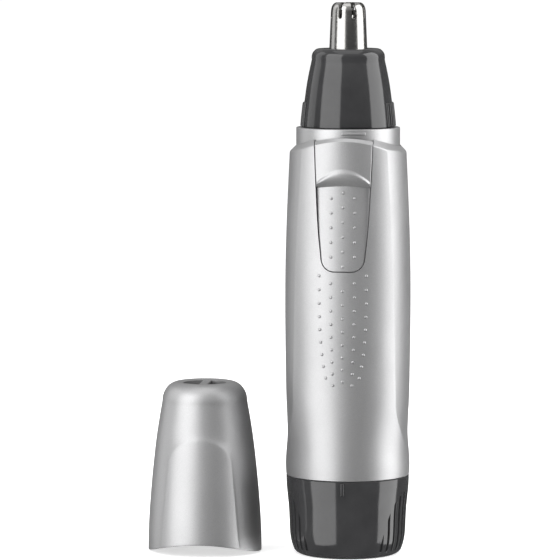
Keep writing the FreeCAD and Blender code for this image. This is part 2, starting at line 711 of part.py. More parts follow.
def cutter_tube():
    base_r, crown_r = CUTTER_R
    top_r, top_z = CUTTER_TOP
    outer = revolve([
        line((0, 115.8), (6.3, 115.8)),
        line((6.3, 115.8), (6.3, 117.2)),
        line((6.3, 117.2), (base_r, 117.2)),
        line((base_r, 117.2), (base_r, 119.2)),
        line((base_r, 119.2), (crown_r, CUTTER_CROWN_Z)),
        arc_profile((crown_r, CUTTER_CROWN_Z), (3.78, 129.4), (top_r, top_z)),
        line((top_r, top_z), (0, top_z)),
        line((0, top_z), (0, 115.8)),
    ])
    bore = polygon_revolve([(0, 110), (CUTTER_BORE_R, 110), (CUTTER_BORE_R, 128.4), (2.6, 129.4), (0, 129.4)])
    tube = outer.cut(bore).cut(disc(1.5, 125, 135))
    width, depth = CUTTER_SLOT
    slot = block(2.0, 6.0, -width / 2, width / 2, top_z - depth, top_z + 1)
    for cut in around(slot, CUTTER_SLOTS, 22.5):
        tube = tube.cut(cut)
    return tube


def drive_coupler():
    coupler = polygon_revolve([(0, 95.6), (2.6, 95.6), (2.6, 101.0), (2.1, 103.0), (0, 103.0)])
    coupler = coupler.cut(disc(SHAFT_R, 90, SHAFT_Z[1]))
    return coupler.cut(disc(1.3, 99.5, 104))


def cutter_stem():
    rod = disc(1.3, 99.5, 121.0)
    collar = disc(2.7, 112.0, 113.0)
    tip = block(-0.8, 0.8, -0.8, 0.8, 121.0, 126.5)
    return fuse([rod, collar, tip])


def cutter_spring():
    return helix_spring(1.75, 1.75, 0.2, 103.0, 112.0, 7)


def inner_cutter():
    """Four upright blades on a hub, turning just inside the slotted tube."""
    hub = disc(3.3, 120.0, 122.6)
    blade = block(1.0, CUTTER_BORE_R - 0.15, -0.3, 0.3, 122.4, 128.2)
    blades = around(blade, 4, 0)
    core = disc(1.6, 122.4, 127.0)
    rotor = fuse([hub, core] + blades)
    rotor = rotor.cut(disc(1.3, 119, 121.0))
    return rotor.cut(block(-0.8, 0.8, -0.8, 0.8, 120.5, 126.5))


# ---- protective cap -----------------------------------------------------------------------
def cap_form(grow):
    """Solid of the cap's outer surface, on the trimmer's axis, with its rim at z = 0."""
    side = [(radius + grow, z) for radius, z in CAP_PROFILE]
    shoulder = side[-1]
    crown = (CAP_CROWN[0] + grow, CAP_CROWN[1])
    dish_r, dish_z = CAP_DISH
    return revolve([
        line((0, 0), side[0]),
        curve(side),
        arc_profile(shoulder, (9.55 + grow, 38.05), crown),
        arc_profile(crown, (7.5, 40.1), CAP_CREST),
        line(CAP_CREST, CAP_DISH),
        line(CAP_DISH, (0, dish_z)),
        line((0, dish_z), (0, 0)),
    ])


def panel_outline():
    """Arched panel seen from the front, extruded right through the cap."""
    base, shoulder, top = (9.4, -1.0), (7.4, 21.5), (0.0, 27.6)
    bend = (5.4, 25.9)
    right = [
        Part.LineSegment(Vector(base[0], -20, base[1]), Vector(shoulder[0], -20, shoulder[1])).toShape(),
        Part.Arc(Vector(shoulder[0], -20, shoulder[1]), Vector(bend[0], -20, bend[1]),
                 Vector(top[0], -20, top[1])).toShape(),
    ]
    left = [edge.mirror(Vector(0, 0, 0), Vector(1, 0, 0)) for edge in right]
    foot = Part.LineSegment(Vector(-base[0], -20, base[1]), Vector(base[0], -20, base[1])).toShape()
    edges = Part.__sortEdges__(right + left + [foot])
    return Part.Face(Part.Wire(edges)).extrude(Vector(0, 40, 0))


def protective_cap():
    plain = cap_form(0.0)
    panels = cap_form(CAP_PANEL_PROUD).common(panel_outline())
    cap = plain.fuse(panels)
    inner = [(radius - CAP_WALL, z) for radius, z in CAP_PROFILE[2:]]
    hollow = revolve([
        line((0, -5), (CAP_BORE_R, -5)),
        line((CAP_BORE_R, -5), (CAP_BORE_R, 6.5)),
        line((CAP_BORE_R, 6.5), inner[0]),
        curve(inner),
        line(inner[-1], (7.4, 38.3)),
        line((7.4, 38.3), (0, 38.8)),
        line((0, 38.8), (0, -5)),
    ])
    cap = cap.cut(hollow)
    snap_groove = ring(CAP_BORE_R + 0.2, CAP_BORE_R - 1, 99.2 - CAP_SEAT_Z, 100.4 - CAP_SEAT_Z)
    cap = cap.cut(snap_groove)
    vents = disc(CAP_VENT_R, 35, 45).cut(block(-CAP_BRIDGE / 2, CAP_BRIDGE / 2, -8, 8, 35, 45))
    cap = cap.cut(vents)
    cap.translate(Vector(0, 0, CAP_SEAT_Z))
    cap = cap.cut(seat_side(0.12, 80.0))
    drop = cap.optimalBoundingBox().ZMin
    cap.translate(Vector(CAP_STAND_X, 0, -drop))
    return cap


# ---- assembly -----------------------------------------------------------------------------
def save(name, shape):
    solids = []
    for piece in shape if isinstance(shape, list) else [shape]:
        solids += piece.Solids
    result = solids[0] if len(solids) == 1 else Part.makeCompound(solids)
    bounds = result.optimalBoundingBox()
    print("%-24s solids %d valid %s vol %.1f z %.2f..%.2f" % (
        name, len(solids), result.isValid(), result.Volume, bounds.ZMin, bounds.ZMax))
    result.exportStep(os.path.join("parts", name + ".step"))


def main():
    os.makedirs("parts", exist_ok=True)
    form = housing_form()
    parts = {
        "housing_shell": housing_shell(form),
        "neck_collar": neck_collar(),
        "collar_screws": collar_screws(),
        "chassis_screws": chassis_screws(),
        "shaft_seal": shaft_seal(),
        "motor_cradle": motor_cradle(),
        "battery_tube": battery_tube(),
        "motor_can": motor_can(),
        "motor_bushing": motor_bushing(),
        "motor_end_cap": motor_end_cap(),
        "motor_terminals": motor_terminals(),
        "motor_brushes": motor_brushes(),
        "motor_magnets": motor_magnets(),
        "positive_contact": positive_contact(),
        "negative_contact_strip": negative_contact_strip(),
        "motor_contact_strip": motor_contact_strip(),
        "battery_can": battery_can(),
        "battery_sleeve": battery_sleeve(),
        "battery_positive_cap": battery_positive_cap(),
        "switch_slider": switch_slider(form),
        "switch_carrier": switch_carrier(),
        "switch_contact": switch_contact(),
        "motor_shaft": motor_shaft(),
        "motor_armature": motor_armature(),
        "motor_windings": motor_windings(),
        "motor_commutator": motor_commutator(),
        "drive_coupler": drive_coupler(),
        "cutter_stem": cutter_stem(),
        "cutter_spring": cutter_spring(),
        "inner_cutter": inner_cutter(),
        "nose_cone": nose_cone(),
        "cutter_tube": cutter_tube(),
        "head_insert": head_insert(),
        "head_o_ring": head_o_ring(),
        "battery_cap": grip_grooves(battery_cap()),
        "battery_spring": battery_spring(),
        "cap_contact_plate": cap_contact_plate(),
        "battery_cap_o_ring": battery_cap_o_ring(),
        "protective_cap": protective_cap(),
    }
    for name, shape in parts.items():
        save(name, shape)


main()
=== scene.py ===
import json
import math

import bpy
import bmesh
import numpy as np
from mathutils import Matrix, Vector
from mathutils.bvhtree import BVHTree

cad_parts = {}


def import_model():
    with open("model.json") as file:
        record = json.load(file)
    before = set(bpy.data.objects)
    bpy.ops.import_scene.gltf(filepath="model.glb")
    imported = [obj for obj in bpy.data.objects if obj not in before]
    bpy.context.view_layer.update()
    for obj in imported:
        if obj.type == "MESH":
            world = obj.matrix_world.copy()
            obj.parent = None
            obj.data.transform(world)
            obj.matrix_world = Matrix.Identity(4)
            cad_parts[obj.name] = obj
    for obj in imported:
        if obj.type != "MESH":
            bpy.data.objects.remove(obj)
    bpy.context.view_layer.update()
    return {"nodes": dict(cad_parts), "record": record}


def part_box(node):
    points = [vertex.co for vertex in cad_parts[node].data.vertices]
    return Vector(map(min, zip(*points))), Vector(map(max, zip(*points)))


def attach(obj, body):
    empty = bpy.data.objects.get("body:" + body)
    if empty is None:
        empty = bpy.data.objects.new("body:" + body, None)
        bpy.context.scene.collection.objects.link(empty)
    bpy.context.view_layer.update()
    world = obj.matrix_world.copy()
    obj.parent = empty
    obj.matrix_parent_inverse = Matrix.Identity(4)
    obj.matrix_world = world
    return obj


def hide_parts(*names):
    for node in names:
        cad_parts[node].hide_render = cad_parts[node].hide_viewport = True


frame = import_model()

# Silver nose hair trimmer with a dark cutter head and battery cap, and its protective cap beside it.
# Shapes are worked out in millimetres round the trimmer's axis and stored in metres.
MM = 0.001


def box_mm(node):
    low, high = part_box(node)
    return low / MM, high / MM


shell_low, shell_high = box_mm("housing_shell")
collar_low, collar_high = box_mm("neck_collar")
slider_low = box_mm("switch_slider")[0]
cap_low, cap_high = box_mm("protective_cap")
tube_high = box_mm("cutter_tube")[1]

# ---- sizes, in millimetres ------------------------------------------------------------------
SEAM_Z = shell_low.z
SEAM_GAP = 0.1
BORE_R = 12.3
LEDGE_R = 12.4                                 # inner edge of the sloping seat of the protective cap
LEDGE_RISE = 2.9                               # how much higher the seat is at the front and back
LEDGE_Z = shell_high.z - LEDGE_RISE - (LEDGE_R - BORE_R)
EDGE_ROUND = 0.35

CREASE_TOP_ANGLE = 44.5                        # from the front, at the shoulder
CREASE_SPREAD = 0.135                          # degrees more per millimetre down
CREASE_TOP_Z = 95.0
CREASE_TURN = (36.0, 14.0, 33.0, 1.6)          # where it starts to turn out, over what height, how far, power
FRONT_COLUMNS = 60
SIDE_COLUMNS = 48

SLIDER_HALF_WIDTHS = ((68.0, 4.9), (70.1, 5.0), (76.5, 5.65), (88.0, 6.35), (102.0, 6.95))
SLIDER_GAP = 0.16
SLIDER_EDGE_ROUND = 0.18
SLIDER_CORNER_R = 3.0
SLIDER_BACK_R = 12.9
THUMB_LEDGE_Z = 87.7
THUMB_LEDGE_DROP = 0.5
THUMB_LIP = (2.85, 4.1, 0.34)                  # ridge height over the ledge, top of its ramp, how proud
THUMB_LIP_TAPER = 0.7                          # how much lower the lip gets towards the slider's edges
THUMB_LIP_POWER = 1.6                          # roundness of the lip's underside
THUMB_PAD_DEPTH = (0.13, 0.9)                  # at the foot of the slider and under the ledge

DOT_R = 0.38
DOT_HEIGHT = 0.22
DOT_PITCH = 3.3
DOT_TIGHTEN = 0.04                             # each gap is this much smaller than the one above

COLLAR_R = collar_high.x
BEAD_ANGLES = (11.0, 191.0)                    # from the front
BEAD_Z = (99.4, 100.1)
BEAD_WIDTH = 5.75
BAR_SINK = 0.15                                # how far a raised bar reaches into what it stands on
RIB_WIDTH = 0.8
RIB_PROUD = 0.38
CUTTER_SLOTS = 8
CUTTER_SLOT_WIDTH = 1.05
CUTTER_SLOT_DEPTH = 3.8

POCKET_R = 11.7                                # open pocket between the battery cap's wall and its spigot
LUG_HALF_ANGLE = 9.0

CAP_X = (cap_low.x + cap_high.x) / 2
CAP_RIM_R = (cap_high.x - cap_low.x) / 2
CAP_BORE_R = 12.32
CAP_WALL = 1.25
CAP_SKIRT_Z = 4.2                               # under this height the cap's side is almost straight
CAP_SKIRT_FLARE = 0.011
SHOULDER_Z = 35.73
CROWN = (8.6, 39.33)                           # radius and height where the shoulder's round ends
CREST = (6.3, cap_high.z)                      # highest ring of the top, round a shallow dish
DISH = (5.3, cap_high.z - 0.35)
VENT_R = 5.1
VENT_BRIDGE = 1.9                              # bar between the two half-round vents
PANEL_SHOULDER_Z = 21.5                         # where the panel's straight sides end and its arch starts
PANEL_TOP_Z = 27.6
PANEL_FOOT_HALF = 9.4
PANEL_SHOULDER_HALF = 7.4
PANEL_PROUD = 0.34


# ---- curves and surfaces --------------------------------------------------------------------
def smooth_curve(xs, ys):
    """A cubic through the points with slopes from their neighbours, as a function of x."""
    xs, ys = np.array(xs, float), np.array(ys, float)
    slopes = np.gradient(ys, xs)

    def value(x):
        i = int(np.clip(np.searchsorted(xs, x) - 1, 0, len(xs) - 2))
        span = xs[i + 1] - xs[i]
        t = min(max((x - xs[i]) / span, 0.0), 1.0)
        keep = (1 + 2 * t) * (1 - t) ** 2
        return (keep * ys[i] + t * (1 - t) ** 2 * span * slopes[i]
                + (1 - keep) * ys[i + 1] - t * t * (1 - t) * span * slopes[i + 1])

    return value


def smooth_step(x):
    t = min(max(x, 0.0), 1.0)
    return t * t * (3 - 2 * t)


trees = {}


def outer_radius(node, angle, z, axis_x=0.0):
    """Distance from the axis to the outside of a CAD node, at an angle from the front, in mm."""
    if node not in trees:
        mesh = frame["nodes"][node].data
        trees[node] = BVHTree.FromPolygons([v.co for v in mesh.vertices], [p.vertices for p in mesh.polygons])
    turn = math.radians(angle)
    out = Vector((math.sin(turn), -math.cos(turn), 0.0))
    start_r = 0.03
    start = Vector((axis_x * MM, 0, z * MM)) + out * start_r
    hit = trees[node].ray_cast(start, -out)
    return (start_r - hit[3]) / MM


def make_object(name, points, faces, smooth_angle=30.0):
    mesh = bpy.data.meshes.new(name)
    mesh.from_pydata([tuple(c * MM for c in p) for p in points], [], faces)
    mesh.validate()
    piece = bpy.data.objects.new(name, mesh)
    bpy.context.scene.collection.objects.link(piece)
    tidy_normals(piece, smooth_angle)
    return piece


def tidy_normals(piece, smooth_angle):
    """Faces outwards, smooth, with sharp edges only where the surface turns by more than the angle."""
    work = bmesh.new()
    work.from_mesh(piece.data)
    bmesh.ops.recalc_face_normals(work, faces=work.faces)
    work.to_mesh(piece.data)
    work.free()
    piece.data.polygons.foreach_set("use_smooth", [True] * len(piece.data.polygons))
    piece.data.set_sharp_from_angle(angle=math.radians(smooth_angle))


def ring_faces(rows, columns, closed):
    """Quads between rows of points that run round the axis; closed joins the last row to the first."""
    faces = []
    for row in range(rows if closed else rows - 1):
        below = row * columns
        above = (row + 1) % rows * columns
        for column in range(columns):
            after = (column + 1) % columns
            faces.append((below + column, below + after, above + after, above + column))
    return faces


def ring_piece(name, loops, smooth_angle=30.0, closed=False):
    """A piece from loops of points round an axis. An open stack ends in a fan to its centre each end."""
    columns = len(loops[0])
    points = [p for loop in loops for p in loop]
    faces = ring_faces(len(loops), columns, closed)
    if not closed:
        for loop, start in ((loops[0], 0), (loops[-1], (len(loops) - 1) * columns)):
            centre = len(points)
            points.append(tuple(np.mean(np.array(loop), 0)))
            faces += [(centre, start + c, start + (c + 1) % columns) for c in range(columns)]
    return make_object(name, points, faces, smooth_angle)


def round_loop(radius, z, columns, axis_x=0.0):
    """A loop at a radius and height; either may be a function of the angle from the front."""
    loop = []
    for column in range(columns):
        angle = 360.0 * column / columns
        r = radius(angle) if callable(radius) else radius
        height = z(angle) if callable(z) else z
        turn = math.radians(angle)
        loop.append((axis_x + r * math.sin(turn), -r * math.cos(turn), height))
    return loop


def rounded(points, corner_r, steps=4):
    """A profile of (radius, z) points with each inner corner rounded off."""
    result = [points[0]]
    for before, corner, after in zip(points, points[1:], points[2:]):
        into = np.array(before, float) - np.array(corner, float)
        out = np.array(after, float) - np.array(corner, float)
        reach = min(corner_r, np.linalg.norm(into) * 0.45, np.linalg.norm(out) * 0.45)
        first = np.array(corner) + into / np.linalg.norm(into) * reach
        last = np.array(corner) + out / np.linalg.norm(out) * reach
        for step in range(steps + 1):
            t = step / steps
            result.append(tuple((1 - t) ** 2 * first + 2 * t * (1 - t) * np.array(corner) + t * t * last))
    result.append(points[-1])
    return result


def lathe(name, profile, columns=160, axis_x=0.0, smooth_angle=30.0, closed=False):
    loops = [round_loop(max(r, 0.001), z, columns, axis_x) for r, z in profile]
    return ring_piece(name, loops, smooth_angle, closed)


def cut(piece, cutter, smooth_angle=30.0):
    """Takes the cutter out of the piece and throws the cutter away."""
    step = piece.modifiers.new("cut", "BOOLEAN")
    step.operation = "DIFFERENCE"
    step.solver = "EXACT"
    step.object = cutter
    graph = bpy.context.evaluated_depsgraph_get()
    mesh = bpy.data.meshes.new_from_object(piece.evaluated_get(graph))
    piece.modifiers.clear()
    piece.data = mesh
    bpy.data.objects.remove(cutter)
    tidy_normals(piece, smooth_angle)
    return piece


def prism(name, outline, low, high, axis="y"):
    """A solid from an outline in x and z pushed along y, or in x and y pushed along z."""
    count = len(outline)
    if axis == "y":
        points = [(x, low, z) for x, z in outline] + [(x, high, z) for x, z in outline]
    else:
        points = [(x, y, low) for x, y in outline] + [(x, y, high) for x, y in outline]
    faces = [tuple(range(count)), tuple(range(2 * count - 1, count - 1, -1))]
    faces += [(i, i + count, (i + 1) % count + count, (i + 1) % count) for i in range(count)]
    return make_object(name, points, faces)


# ---- form of the housing --------------------------------------------------------------------
def crease_angle(z):
    start, height, turn, power = CREASE_TURN
    down = min(max((start - z) / height, 0.0), 1.0)
    return min(CREASE_TOP_ANGLE + CREASE_SPREAD * (CREASE_TOP_Z - z) + turn * down ** power, 86.0)


def housing_curves():
    """Half width, half depth and crease radius at any height, read off the CAD shell's side and back."""
    heights = [SEAM_Z + 0.15] + [21.0, 23.5, 26.0, 28.5, 32.0, 37.0] + list(np.linspace(45.0, 94.0, 8))
    width = smooth_curve(heights, [outer_radius("housing_shell", 90, z) for z in heights])
    depth = smooth_curve(heights, [outer_radius("housing_shell", 180, z) for z in heights])
    crease = smooth_curve(heights, [outer_radius("housing_shell", 180 - crease_angle(z), z) for z in heights])
    return width, depth, crease


half_width, half_depth, crease_radius = housing_curves()


def bent(curve, z):
    """The curve's value, carried straight on above the highest reading."""
    top = 94.0
    if z <= top:
        return curve(z)
    return curve(top) + (curve(top) - curve(top - 3.0)) / 3.0 * (z - top)


def arc_numbers(half_chord, middle, end):
    """Radius and centre of the arc that bulges to middle and passes the chord's ends at end."""
    rise = max(middle - end, 0.02)
    radius = (half_chord ** 2 + rise ** 2) / (2 * rise)
    return radius, middle - radius


def front_y(x, z):
    """How far forward the housing's front arc is at x, as a y."""
    angle = math.radians(crease_angle(z))
    r = bent(crease_radius, z)
    radius, centre = arc_numbers(r * math.sin(angle), bent(half_depth, z), r * math.cos(angle))
    return -(centre + math.sqrt(max(radius ** 2 - x ** 2, 0.0)))


def crowded(count):
    """Places from -1 towards 1, closer together near both ends."""
    even = np.linspace(-1, 1, count, endpoint=False)
    return 0.35 * even + 0.65 * np.sin(even * math.pi / 2)


def housing_section(z):
    """Points round the housing at a height: front, right side, back and left side arcs."""
    angle = math.radians(crease_angle(z))
    r = bent(crease_radius, z)
    crease_x, crease_y = r * math.sin(angle), r * math.cos(angle)
    front_r, front_c = arc_numbers(crease_x, bent(half_depth, z), crease_y)
    side_r, side_c = arc_numbers(crease_y, bent(half_width, z), crease_x)
    front_turn = math.asin(min(crease_x / front_r, 1.0))
    side_turn = math.asin(min(crease_y / side_r, 1.0))
    points = []
    for quarter in range(4):
        is_side = quarter % 2
        radius, centre, turn = (side_r, side_c, side_turn) if is_side else (front_r, front_c, front_turn)
        for place in crowded(SIDE_COLUMNS if is_side else FRONT_COLUMNS):
            across = radius * math.sin(place * turn)
            out = centre + radius * math.cos(place * turn)
            points.append(((across, -out), (out, across), (-across, out), (-out, -across))[quarter])
    return points


def seat_height(x, y, r):
    """Height of the sloping arched seat at a point of radius r."""
    return LEDGE_Z + LEDGE_RISE * (y / max(math.hypot(x, y), 0.001)) ** 2 - (r - LEDGE_R)


def shell_edge():
    """For each column, the height where the outer surface meets the seat."""
    columns = 2 * (FRONT_COLUMNS + SIDE_COLUMNS)
    edge = [LEDGE_Z] * columns
    for _ in range(6):
        edge = [seat_height(*housing_section(edge[c])[c], math.hypot(*housing_section(edge[c])[c]))
                for c in range(columns)]
    return edge


def housing_skin():
    """Outer surface, rounded shoulder, sloping seat and bore, then the slider's window cut through."""
    columns = 2 * (FRONT_COLUMNS + SIDE_COLUMNS)
    edge = shell_edge()
    rows = 96
    loops = []
    first = housing_section(SEAM_Z)
    loops.append([(x * 0.994, y * 0.994, SEAM_Z) for x, y in first])
    low_z = SEAM_Z + 0.1
    for row in range(rows + 1):
        share = row / rows
        loop = []
        for column in range(columns):
            z = low_z + (edge[column] - EDGE_ROUND - low_z) * share
            x, y = section_point(z, column)
            loop.append((x, y, z))
        loops.append(loop)
    for step in range(1, 6):
        t = step / 5
        loop = []
        for column in range(columns):
            top = edge[column]
            x, y = section_point(top, column)
            below = (*section_point(top - EDGE_ROUND, column), top - EDGE_ROUND)
            shrink = 1 - EDGE_ROUND * 0.7 / math.hypot(x, y)
            beyond = (x * shrink, y * shrink, top + EDGE_ROUND * 0.7)
            loop.append(tuple((1 - t) ** 2 * np.array(below) + 2 * t * (1 - t) * np.array((x, y, top))
                              + t * t * np.array(beyond)))
        loops.append(loop)
    directions = [np.array(section_point(edge[c], c)) for c in range(columns)]
    directions = [d / np.linalg.norm(d) for d in directions]
    for radius, drop in ((LEDGE_R, 0.0), (BORE_R, 0.25)):
        seat = [seat_height(d[0], d[1], LEDGE_R) - drop for d in directions]
        loops.append([(d[0] * radius, d[1] * radius, z) for d, z in zip(directions, seat)])
    loops.append([(d[0] * BORE_R, d[1] * BORE_R, SEAM_Z) for d in directions])
    skin = ring_piece("housing_skin", loops, 6.0, closed=True)
    outline = slider_outline(SLIDER_GAP)
    return cut(skin, prism("window", outline, -20, -5), 6.0)


section_cache = {}


def section_point(z, column):
    key = round(z, 3)
    if key not in section_cache:
        section_cache[key] = housing_section(key)
    return section_cache[key][column]


# ---- slider ---------------------------------------------------------------------------------
slider_width = smooth_curve(*zip(*SLIDER_HALF_WIDTHS))


def slider_half(z, grow=0.0):
    """Half width of the slider at a height, with its two rounded lower corners."""
    bottom = slider_low.z - grow
    corner = SLIDER_CORNER_R + grow
    half = slider_width(max(z, SLIDER_HALF_WIDTHS[1][0])) + grow
    if z < bottom + corner:
        over = bottom + corner - z
        half -= corner - math.sqrt(max(corner ** 2 - over ** 2, 0.0))
    return half


def slider_outline(grow):
    bottom = slider_low.z - grow
    corner = SLIDER_CORNER_R + grow
    heights = [bottom + corner * (1 - math.cos(math.radians(a))) for a in range(0, 91, 6)]
    heights += list(np.linspace(bottom + corner + 0.8, 102.0, 30))
    right = [(slider_half(z, grow), z) for z in heights]
    return right + [(-x, z) for x, z in reversed(right)]


def edge_distance(x, z):
    """How far a point of the slider's front is inside its outline."""
    bottom = slider_low.z
    corner = SLIDER_CORNER_R
    inner_x = slider_half(bottom + corner) - corner
    if z < bottom + corner and abs(x) > inner_x:
        return corner - math.hypot(abs(x) - inner_x, bottom + corner - z)
    return min(slider_half(z) - abs(x), z - bottom)


def slider_depth(x, z):
    """How far the slider's front is pressed in from the housing's form: pad, lip and rounded rim."""
    across = min(abs(x) / slider_half(z), 1.0)
    ledge = THUMB_LEDGE_Z - THUMB_LEDGE_DROP * across ** 2
    squeeze = 1 - THUMB_LIP_TAPER * across ** 2
    over = (z - ledge) / squeeze
    ridge, ramp, proud = THUMB_LIP
    foot_depth, deep = THUMB_PAD_DEPTH
    share = min(max((min(z, ledge) - slider_low.z) / (ledge - slider_low.z), 0.0), 1.0)
    pad = foot_depth + (deep - foot_depth) * share
    if over <= 0:
        depth = pad
    elif over < ridge:
        depth = -proud + (proud + pad) * (1 - over / ridge) ** THUMB_LIP_POWER
    else:
        depth = -proud * smooth_step((ramp - over) / (ramp - ridge))
    inside = max(edge_distance(x, z), 0.0)
    rim = SLIDER_EDGE_ROUND
    if inside < rim:
        depth = max(depth, 0.0) + rim - math.sqrt(rim ** 2 - (rim - inside) ** 2)
    return depth


def slider_front(x, z):
    y = front_y(x, z) + slider_depth(x, z)
    return (x, y, z)


def slider_skin():
    """Curved thumb slide: front surface, back surface and the walls between them."""
    even = np.linspace(-1, 1, 65)
    across = list(np.sin(even * math.pi / 2) * 0.75 + even * 0.25)
    bottom = slider_low.z
    corner = SLIDER_CORNER_R
    low_rows = [bottom + corner * (1 - math.cos(a)) for a in np.linspace(0.03, math.pi / 2, 14)]
    lip_low = THUMB_LEDGE_Z - THUMB_LEDGE_DROP - 0.3
    lip_high = THUMB_LEDGE_Z + THUMB_LIP[1] + 0.3
    pad_rows = list(np.linspace(bottom + corner + 0.5, lip_low - 0.2, 36))
    lip_rows = list(np.linspace(lip_low, lip_high, 60))
    rows = [bottom + 0.0] + low_rows + pad_rows + lip_rows
    upper = 14
    front, back = [], []
    for index in range(len(rows) + upper):
        for u in across:
            if index < len(rows):
                z = rows[index]
            else:
                x_top = u * slider_half(97.0)
                y_top = front_y(x_top, 97.0)
                top = seat_height(x_top, y_top, math.hypot(x_top, y_top))
                z = rows[-1] + (top - rows[-1]) * (index - len(rows) + 1) / upper
            x = u * slider_half(z)
            front.append(slider_front(x, z))
            back_y = -math.sqrt(SLIDER_BACK_R ** 2 - x ** 2)
            back_z = z
            if index >= len(rows):
                back_top = seat_height(x, back_y, SLIDER_BACK_R)
                back_z = rows[-1] + (back_top - rows[-1]) * (index - len(rows) + 1) / upper
            back.append((x, back_y, back_z))
    return two_sheets("switch_slider_skin", front, back, len(across), 20.0)


def two_sheets(name, front, back, columns, smooth_angle):
    """A closed piece from a front and a back grid of points with walls round their edge."""
    rows = len(front) // columns
    count = len(front)
    faces = []
    for row in range(rows - 1):
        for column in range(columns - 1):
            a = row * columns + column
            quad = (a, a + 1, a + 1 + columns, a + columns)
            faces.append(quad)
            faces.append(tuple(i + count for i in reversed(quad)))
    rim = [c for c in range(columns)] + [r * columns + columns - 1 for r in range(1, rows)]
    rim += [(rows - 1) * columns + c for c in range(columns - 2, -1, -1)]
    rim += [r * columns for r in range(rows - 2, 0, -1)]
    for i, a in enumerate(rim):
        b = rim[(i + 1) % len(rim)]
        faces.append((a, b, b + count, a + count))
    return make_object(name, front + back, faces, smooth_angle)


# ---- grip dots ------------------------------------------------------------------------------
def dome(centre, normal):
    """Points and faces of one low round dot standing on a surface."""
    normal = Vector(normal).normalized()
    side = normal.cross(Vector((0, 0, 1))).normalized()
    up = side.cross(normal)
    sink = 0.12
    rings, columns = 5, 16
    points, faces = [], []
    for ring in range(rings):
        turn = math.pi / 2 * ring / rings
        r = DOT_R * math.cos(turn)
        rise = DOT_HEIGHT * math.sin(turn) - (sink if ring == 0 else 0.0)
        for column in range(columns):
            a = 2 * math.pi * column / columns
            points.append(Vector(centre) + side * r * math.cos(a) + up * r * math.sin(a) + normal * rise)
    points.append(Vector(centre) + normal * DOT_HEIGHT)
    faces = ring_faces(rings, columns, False)
    last = (rings - 1) * columns
    faces += [(last + c, last + (c + 1) % columns, rings * columns) for c in range(columns)]
    faces.append(tuple(range(columns - 1, -1, -1)))
    return points, faces


def dots(name, places, surface):
    points, faces = [], []
    for x, z in places:
        here = Vector(surface(x, z))
        across = Vector(surface(x + 0.1, z)) - Vector(surface(x - 0.1, z))
        rising = Vector(surface(x, z + 0.1)) - Vector(surface(x, z - 0.1))
        new_points, new_faces = dome(here, across.cross(rising))
        start = len(points)
        points += [tuple(p) for p in new_points]
        faces += [tuple(i + start for i in face) for face in new_faces]
    return make_object(name, points, faces, 60.0)


def column_heights(top, count):
    return [top - DOT_PITCH * k + DOT_TIGHTEN * k * k for k in range(count)]


def shell_dot_places():
    """Shield-shaped field under the slider: five columns that draw in towards the bottom."""
    places = [(0.0, z) for z in column_heights(63.4, 8)]
    for k, z in enumerate(column_heights(66.9, 9)):
        x = 5.5 - 1.6 * (k / 8) ** 3
        places += [(-x, z), (x, z)]
    for k, z in enumerate(column_heights(65.2, 9)):
        x = 2.75 - 0.55 * (k / 8) ** 2
        places += [(-x, z), (x, z)]
    return places


def slider_dot_places():
    places = [(0.0, 86.2 - 3.42 * k) for k in range(6)]
    for k in range(5):
        places += [(-2.75, 84.9 - 3.4 * k), (2.75, 84.9 - 3.4 * k)]
    return places


# ---- raised bars: ribs, the cap's pointer and the collar's bead -----------------------------
def raised_bars(name, bars, width, proud, edge, surface):
    """Bars with rounded edges; each is (angle from the front, low z, high z) on a surface radius."""
    points, faces = [], []
    for angle, low, high in bars:
        ups = [low + edge * t for t in (0, 0.15, 0.4, 0.75, 1)]
        ups += list(np.linspace(low + edge, high - edge, 12))[1:-1]
        ups += [high - edge * t for t in (1, 0.75, 0.4, 0.15, 0)]
        half = width / 2
        sides = [-half + edge * t for t in (0, 0.15, 0.4, 0.75, 1)] + [0.0]
        sides += [half - edge * t for t in (1, 0.75, 0.4, 0.15, 0)]
        start = len(points)
        columns = len(sides)
        for z in ups:
            for across in sides:
                inset = min(half - abs(across), z - low, high - z)
                share = 1 - min(inset / edge, 1.0)
                r = surface(z) + proud * math.sqrt(max(1 - share ** 2, 0.0))
                if inset < 1e-6:
                    r = surface(z) - BAR_SINK
                turn = math.radians(angle) + across / surface(z)
                points.append((r * math.sin(turn), -r * math.cos(turn), z))
        for row in range(len(ups) - 1):
            for column in range(columns - 1):
                a = start + row * columns + column
                faces.append((a, a + 1, a + 1 + columns, a + columns))
        under = [start + i for i in range(columns)]
        under += [start + r * columns + columns - 1 for r in range(1, len(ups))]
        under += [start + (len(ups) - 1) * columns + c for c in range(columns - 2, -1, -1)]
        under += [start + r * columns for r in range(len(ups) - 2, 0, -1)]
        faces.append(tuple(reversed(under)))
    return make_object(name, points, faces, 50.0)


# ---- neck and cutter head -------------------------------------------------------------------
def collar_piece():
    outer_r = COLLAR_R
    top = collar_high.z
    profile = [(3.3, collar_low.z), (outer_r, collar_low.z), (outer_r, top)]
    profile += [(9.75, top), (9.75, 95.0), (3.3, 95.0)]
    profile = rounded(profile + profile[:2], 0.25)[:-1]
    return lathe("neck_collar_turned", profile, 200, closed=True)


def nose_surface(z):
    return outer_radius("nose_cone", 0, min(max(z, 101.0), 119.0))


